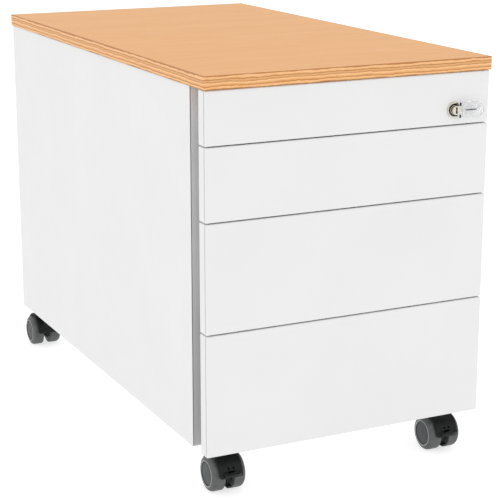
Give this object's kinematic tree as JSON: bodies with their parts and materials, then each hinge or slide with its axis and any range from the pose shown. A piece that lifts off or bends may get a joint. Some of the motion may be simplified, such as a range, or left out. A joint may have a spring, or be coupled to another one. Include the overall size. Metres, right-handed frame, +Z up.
{
  "type": "mobile desk pedestal",
  "caption": "Mobile drawer pedestal: steel body on twin-wheel castors, wooden top board, stacked drawers on full-extension runners, and a lock with a folding key.",
  "frame": {"origin": "on the floor under the middle of the top board", "axes": "+Z up, +Y to the back so that the drawers open towards -Y, +X to the right seen from the front"},
  "size_m": [0.43, 0.7968, 0.5745],
  "materials": {
    "board_veneer": "satin beech decor",
    "board_edging": "satin plywood-look band",
    "white_steel": "satin powder coat",
    "tray_steel": "satin powder coat",
    "grey_steel": "satin powder coat",
    "zinc_steel": "bright zinc",
    "nickel": "satin nickel",
    "clear_plastic": "clear moulded plastic",
    "black_nylon": "satin moulded",
    "dark_nylon": "satin moulded",
    "grey_tread": "soft matte"
  },
  "bodies": {
    "cabinet": {"top_board": "board_veneer", "top_board_edging": "board_edging", "top_board_screws": "zinc_steel", "left_side": "white_steel", "right_side": "white_steel", "back_panel": "white_steel", "top_deck": "white_steel", "base_pan": "white_steel", "rear_posts": "white_steel", "grip_strips": "grey_steel", "outer_rails": "zinc_steel", "castor_stems": "zinc_steel"},
    "bottom_middle_runner": {"bottom_middle_rails": "zinc_steel"},
    "bottom_drawer": {"bottom_inner_rails": "zinc_steel", "bottom_drawer_front": "white_steel", "bottom_drawer_tray": "tray_steel"},
    "third_middle_runner": {"third_middle_rails": "zinc_steel"},
    "third_drawer": {"third_inner_rails": "zinc_steel", "third_drawer_front": "white_steel", "third_drawer_tray": "tray_steel"},
    "second_middle_runner": {"second_middle_rails": "zinc_steel"},
    "second_drawer": {"second_inner_rails": "zinc_steel", "second_drawer_front": "white_steel", "second_drawer_tray": "tray_steel"},
    "top_middle_runner": {"top_middle_rails": "zinc_steel"},
    "top_drawer": {"top_inner_rails": "zinc_steel", "top_drawer_front": "white_steel", "top_drawer_tray": "tray_steel", "lock_housing": "nickel"},
    "lock_plug": {"lock_core": "nickel", "lock_arm": "zinc_steel"},
    "lock_slide_bar": {"lock_bar": "zinc_steel"},
    "key": {"key_blade": "nickel"},
    "key_grip": {"key_cap": "clear_plastic"},
    "front_left_castor": {"front_left_castor_hood": "black_nylon", "front_left_castor_axle": "zinc_steel"},
    "front_left_outer_wheel": {"front_left_outer_hub": "dark_nylon", "front_left_outer_tread": "grey_tread"},
    "front_left_inner_wheel": {"front_left_inner_hub": "dark_nylon", "front_left_inner_tread": "grey_tread"},
    "front_left_brake": {"front_left_brake_lever": "black_nylon"},
    "front_right_castor": {"front_right_castor_hood": "black_nylon", "front_right_castor_axle": "zinc_steel"},
    "front_right_outer_wheel": {"front_right_outer_hub": "dark_nylon", "front_right_outer_tread": "grey_tread"},
    "front_right_inner_wheel": {"front_right_inner_hub": "dark_nylon", "front_right_inner_tread": "grey_tread"},
    "front_right_brake": {"front_right_brake_lever": "black_nylon"},
    "rear_left_castor": {"rear_left_castor_hood": "black_nylon", "rear_left_castor_axle": "zinc_steel"},
    "rear_left_outer_wheel": {"rear_left_outer_hub": "dark_nylon", "rear_left_outer_tread": "grey_tread"},
    "rear_left_inner_wheel": {"rear_left_inner_hub": "dark_nylon", "rear_left_inner_tread": "grey_tread"},
    "rear_right_castor": {"rear_right_castor_hood": "black_nylon", "rear_right_castor_axle": "zinc_steel"},
    "rear_right_outer_wheel": {"rear_right_outer_hub": "dark_nylon", "rear_right_outer_tread": "grey_tread"},
    "rear_right_inner_wheel": {"rear_right_inner_hub": "dark_nylon", "rear_right_inner_tread": "grey_tread"}
  },
  "joints": [
    {"name": "bottom_drawer_slide", "type": "slide", "parent": "cabinet", "child": "bottom_drawer", "axis": [0, -1, 0], "range_m": [0, 0.6]},
    {"name": "bottom_runner_slide", "type": "slide", "parent": "cabinet", "child": "bottom_middle_runner", "axis": [0, -1, 0], "range_m": [0, 0.3]},
    {"name": "third_drawer_slide", "type": "slide", "parent": "cabinet", "child": "third_drawer", "axis": [0, -1, 0], "range_m": [0, 0.6]},
    {"name": "third_runner_slide", "type": "slide", "parent": "cabinet", "child": "third_middle_runner", "axis": [0, -1, 0], "range_m": [0, 0.3]},
    {"name": "second_drawer_slide", "type": "slide", "parent": "cabinet", "child": "second_drawer", "axis": [0, -1, 0], "range_m": [0, 0.6]},
    {"name": "second_runner_slide", "type": "slide", "parent": "cabinet", "child": "second_middle_runner", "axis": [0, -1, 0], "range_m": [0, 0.3]},
    {"name": "top_drawer_slide", "type": "slide", "parent": "cabinet", "child": "top_drawer", "axis": [0, -1, 0], "range_m": [0, 0.6]},
    {"name": "top_runner_slide", "type": "slide", "parent": "cabinet", "child": "top_middle_runner", "axis": [0, -1, 0], "range_m": [0, 0.3]},
    {"name": "lock_turn", "type": "hinge", "parent": "top_drawer", "child": "lock_plug", "pos_m": [0.157, -0.395, 0.505], "axis": [0, 1, 0], "range_deg": [0, 90]},
    {"name": "lock_bar_slide", "type": "slide", "parent": "cabinet", "child": "lock_slide_bar", "axis": [0, 0, -1], "range_m": [0, 0.008]},
    {"name": "key_pull", "type": "slide", "parent": "lock_plug", "child": "key", "axis": [0, -1, 0], "range_m": [0, 0.03]},
    {"name": "key_fold", "type": "hinge", "parent": "key", "child": "key_grip", "pos_m": [0.1635, -0.3995, 0.505], "axis": [0, 0, -1], "range_deg": [0, 90]},
    {"name": "front_left_castor_swivel", "type": "hinge", "parent": "cabinet", "child": "front_left_castor", "pos_m": [-0.172, -0.331, 0.065], "axis": [0, 0, 1], "continuous": true},
    {"name": "front_left_outer_wheel_spin", "type": "hinge", "parent": "front_left_castor", "child": "front_left_outer_wheel", "pos_m": [-0.172, -0.353, 0.025], "axis": [1, 0, 0], "continuous": true},
    {"name": "front_left_inner_wheel_spin", "type": "hinge", "parent": "front_left_castor", "child": "front_left_inner_wheel", "pos_m": [-0.172, -0.353, 0.025], "axis": [1, 0, 0], "continuous": true},
    {"name": "front_left_brake_press", "type": "hinge", "parent": "front_left_castor", "child": "front_left_brake", "pos_m": [-0.172, -0.3762, 0.0312], "axis": [1, 0, 0], "range_deg": [0, 10]},
    {"name": "front_right_castor_swivel", "type": "hinge", "parent": "cabinet", "child": "front_right_castor", "pos_m": [0.172, -0.331, 0.065], "axis": [0, 0, 1], "continuous": true},
    {"name": "front_right_outer_wheel_spin", "type": "hinge", "parent": "front_right_castor", "child": "front_right_outer_wheel", "pos_m": [0.172, -0.353, 0.025], "axis": [1, 0, 0], "continuous": true},
    {"name": "front_right_inner_wheel_spin", "type": "hinge", "parent": "front_right_castor", "child": "front_right_inner_wheel", "pos_m": [0.172, -0.353, 0.025], "axis": [1, 0, 0], "continuous": true},
    {"name": "front_right_brake_press", "type": "hinge", "parent": "front_right_castor", "child": "front_right_brake", "pos_m": [0.172, -0.3762, 0.0312], "axis": [1, 0, 0], "range_deg": [0, 10]},
    {"name": "rear_left_castor_swivel", "type": "hinge", "parent": "cabinet", "child": "rear_left_castor", "pos_m": [-0.188, 0.342, 0.065], "axis": [0, 0, 1], "continuous": true},
    {"name": "rear_left_outer_wheel_spin", "type": "hinge", "parent": "rear_left_castor", "child": "rear_left_outer_wheel", "pos_m": [-0.188, 0.364, 0.025], "axis": [1, 0, 0], "continuous": true},
    {"name": "rear_left_inner_wheel_spin", "type": "hinge", "parent": "rear_left_castor", "child": "rear_left_inner_wheel", "pos_m": [-0.188, 0.364, 0.025], "axis": [1, 0, 0], "continuous": true},
    {"name": "rear_right_castor_swivel", "type": "hinge", "parent": "cabinet", "child": "rear_right_castor", "pos_m": [0.188, 0.342, 0.065], "axis": [0, 0, 1], "continuous": true},
    {"name": "rear_right_outer_wheel_spin", "type": "hinge", "parent": "rear_right_castor", "child": "rear_right_outer_wheel", "pos_m": [0.188, 0.364, 0.025], "axis": [1, 0, 0], "continuous": true},
    {"name": "rear_right_inner_wheel_spin", "type": "hinge", "parent": "rear_right_castor", "child": "rear_right_inner_wheel", "pos_m": [0.188, 0.364, 0.025], "axis": [1, 0, 0], "continuous": true}
  ],
  "couplings": [
    {"joint": "bottom_runner_slide", "follows": "bottom_drawer_slide", "ratio": 0.5},
    {"joint": "third_runner_slide", "follows": "third_drawer_slide", "ratio": 0.5},
    {"joint": "second_runner_slide", "follows": "second_drawer_slide", "ratio": 0.5},
    {"joint": "top_runner_slide", "follows": "top_drawer_slide", "ratio": 0.5},
    {"joint": "lock_turn", "follows": "lock_bar_slide", "rad_per_m": 196.33}
  ]
}
